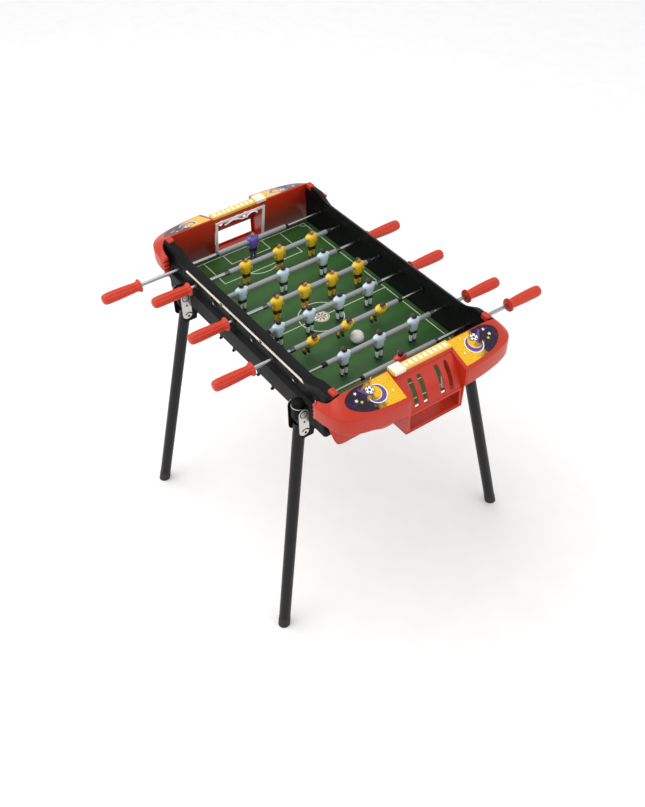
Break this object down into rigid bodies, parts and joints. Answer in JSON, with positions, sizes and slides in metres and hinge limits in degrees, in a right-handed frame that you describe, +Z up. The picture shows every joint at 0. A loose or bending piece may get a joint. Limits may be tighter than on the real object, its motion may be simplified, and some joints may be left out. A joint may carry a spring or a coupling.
{
  "type": "folding table football game",
  "caption": "Tabletop football game on folding tube legs, with telescopic player rods, moulded goal ends, score markers and a ball.",
  "frame": {"origin": "on the floor, under the middle of the pitch", "axes": "+Z up, +X towards the near goal, +Y across the pitch towards the right-hand wall"},
  "size_m": [0.912, 0.9, 0.7894],
  "materials": {
    "pitch_print": "printed green playing surface with white markings",
    "cabinet_black": "black moulded plastic, fine texture",
    "cap_red": "glossy red moulded plastic",
    "goal_white": "white moulded plastic",
    "marker_cream": "cream moulded plastic",
    "leg_black": "black painted steel tube",
    "rod_grey": "grey plastic sleeve on a steel tube",
    "steel": "bright steel",
    "grip_red": "fluted red-orange plastic",
    "player_yellow": "painted plastic figure, yellow shirt and black shorts",
    "player_blue": "painted plastic figure, pale blue shirt and black shorts",
    "keeper_purple": "painted plastic figure, purple shirt",
    "keeper_red": "painted plastic figure, red shirt",
    "ball_white": "white plastic ball"
  },
  "bodies": {
    "frame": {"pitch_board": "pitch_print", "side_wall_left": "cabinet_black", "side_wall_right": "cabinet_black", "end_cap_near": "cap_red", "end_cap_far": "cap_red", "goal_frame_near": "goal_white", "goal_frame_far": "goal_white"},
    "rod_1_core": {"rod_1_core": "steel"},
    "rod_1_team": {"rod_1_tube": "rod_grey", "rod_1_grip": "grip_red", "rod_1_player_1": "keeper_purple"},
    "rod_2_core": {"rod_2_core": "steel"},
    "rod_2_team": {"rod_2_tube": "rod_grey", "rod_2_grip": "grip_red", "rod_2_player_1": "player_yellow", "rod_2_player_2": "player_yellow", "rod_2_player_3": "player_yellow"},
    "rod_3_core": {"rod_3_core": "steel"},
    "rod_3_team": {"rod_3_tube": "rod_grey", "rod_3_grip": "grip_red", "rod_3_player_1": "player_blue", "rod_3_player_2": "player_blue", "rod_3_player_3": "player_blue"},
    "rod_4_core": {"rod_4_core": "steel"},
    "rod_4_team": {"rod_4_tube": "rod_grey", "rod_4_grip": "grip_red", "rod_4_player_1": "player_yellow", "rod_4_player_2": "player_yellow", "rod_4_player_3": "player_yellow", "rod_4_player_4": "player_yellow"},
    "rod_5_core": {"rod_5_core": "steel"},
    "rod_5_team": {"rod_5_tube": "rod_grey", "rod_5_grip": "grip_red", "rod_5_player_1": "player_blue", "rod_5_player_2": "player_blue", "rod_5_player_3": "player_blue", "rod_5_player_4": "player_blue"},
    "rod_6_core": {"rod_6_core": "steel"},
    "rod_6_team": {"rod_6_tube": "rod_grey", "rod_6_grip": "grip_red", "rod_6_player_1": "player_yellow", "rod_6_player_2": "player_yellow", "rod_6_player_3": "player_yellow"},
    "rod_7_core": {"rod_7_core": "steel"},
    "rod_7_team": {"rod_7_tube": "rod_grey", "rod_7_grip": "grip_red", "rod_7_player_1": "player_blue", "rod_7_player_2": "player_blue", "rod_7_player_3": "player_blue"},
    "rod_8_core": {"rod_8_core": "steel"},
    "rod_8_team": {"rod_8_tube": "rod_grey", "rod_8_grip": "grip_red", "rod_8_player_1": "keeper_red"},
    "score_marker_near": {"score_marker_near": "marker_cream"},
    "leg_near_left": {"leg_near_left": "leg_black"},
    "leg_near_right": {"leg_near_right": "leg_black"},
    "score_marker_far": {"score_marker_far": "marker_cream"},
    "leg_far_left": {"leg_far_left": "leg_black"},
    "leg_far_right": {"leg_far_right": "leg_black"},
    "ball": {"ball": "ball_white"}
  },
  "joints": [
    {"name": "rod_1_spin", "type": "hinge", "parent": "frame", "child": "rod_1_core", "pos_m": [-0.308, 0, 0.721], "axis": [0, 1, 0], "continuous": true},
    {"name": "rod_1_slide", "type": "slide", "parent": "rod_1_core", "child": "rod_1_team", "axis": [0, 1, 0], "range_m": [-0.091, 0.103]},
    {"name": "rod_2_spin", "type": "hinge", "parent": "frame", "child": "rod_2_core", "pos_m": [-0.22, 0, 0.721], "axis": [0, 1, 0], "continuous": true},
    {"name": "rod_2_slide", "type": "slide", "parent": "rod_2_core", "child": "rod_2_team", "axis": [0, 1, 0], "range_m": [-0.051, 0.009]},
    {"name": "rod_3_spin", "type": "hinge", "parent": "frame", "child": "rod_3_core", "pos_m": [-0.132, 0, 0.721], "axis": [0, 1, 0], "continuous": true},
    {"name": "rod_3_slide", "type": "slide", "parent": "rod_3_core", "child": "rod_3_team", "axis": [0, 1, 0], "range_m": [-0.005, 0.055]},
    {"name": "rod_4_spin", "type": "hinge", "parent": "frame", "child": "rod_4_core", "pos_m": [-0.044, 0, 0.721], "axis": [0, 1, 0], "continuous": true},
    {"name": "rod_4_slide", "type": "slide", "parent": "rod_4_core", "child": "rod_4_team", "axis": [0, 1, 0], "range_m": [-0.053, 0.007]},
    {"name": "rod_5_spin", "type": "hinge", "parent": "frame", "child": "rod_5_core", "pos_m": [0.044, 0, 0.721], "axis": [0, 1, 0], "continuous": true},
    {"name": "rod_5_slide", "type": "slide", "parent": "rod_5_core", "child": "rod_5_team", "axis": [0, 1, 0], "range_m": [-0.01, 0.05]},
    {"name": "rod_6_spin", "type": "hinge", "parent": "frame", "child": "rod_6_core", "pos_m": [0.132, 0, 0.721], "axis": [0, 1, 0], "continuous": true},
    {"name": "rod_6_slide", "type": "slide", "parent": "rod_6_core", "child": "rod_6_team", "axis": [0, 1, 0], "range_m": [-0.014, 0.046]},
    {"name": "rod_7_spin", "type": "hinge", "parent": "frame", "child": "rod_7_core", "pos_m": [0.22, 0, 0.721], "axis": [0, 1, 0], "continuous": true},
    {"name": "rod_7_slide", "type": "slide", "parent": "rod_7_core", "child": "rod_7_team", "axis": [0, 1, 0], "range_m": [-0.044, 0.016]},
    {"name": "rod_8_spin", "type": "hinge", "parent": "frame", "child": "rod_8_core", "pos_m": [0.308, 0, 0.721], "axis": [0, 1, 0], "continuous": true},
    {"name": "rod_8_slide", "type": "slide", "parent": "rod_8_core", "child": "rod_8_team", "axis": [0, 1, 0], "range_m": [-0.103, 0.091]},
    {"name": "score_near", "type": "slide", "parent": "frame", "child": "score_marker_near", "axis": [0, 1, 0], "range_m": [0, 0.134]},
    {"name": "fold_near_left", "type": "hinge", "parent": "frame", "child": "leg_near_left", "pos_m": [0.264, -0.251, 0.62], "axis": [1, 0, 0], "range_deg": [0, 100]},
    {"name": "fold_near_right", "type": "hinge", "parent": "frame", "child": "leg_near_right", "pos_m": [0.264, 0.251, 0.62], "axis": [-1, 0, 0], "range_deg": [0, 89.5]},
    {"name": "score_far", "type": "slide", "parent": "frame", "child": "score_marker_far", "axis": [0, -1, 0], "range_m": [0, 0.134]},
    {"name": "fold_far_left", "type": "hinge", "parent": "frame", "child": "leg_far_left", "pos_m": [-0.264, -0.251, 0.62], "axis": [1, 0, 0], "range_deg": [0, 89.5]},
    {"name": "fold_far_right", "type": "hinge", "parent": "frame", "child": "leg_far_right", "pos_m": [-0.264, 0.251, 0.62], "axis": [-1, 0, 0], "range_deg": [0, 100]},
    {"name": "ball_roll", "type": "slide", "parent": "frame", "child": "ball", "axis": [0, 1, 0], "range_m": [-0.21, 0.185]}
  ]
}
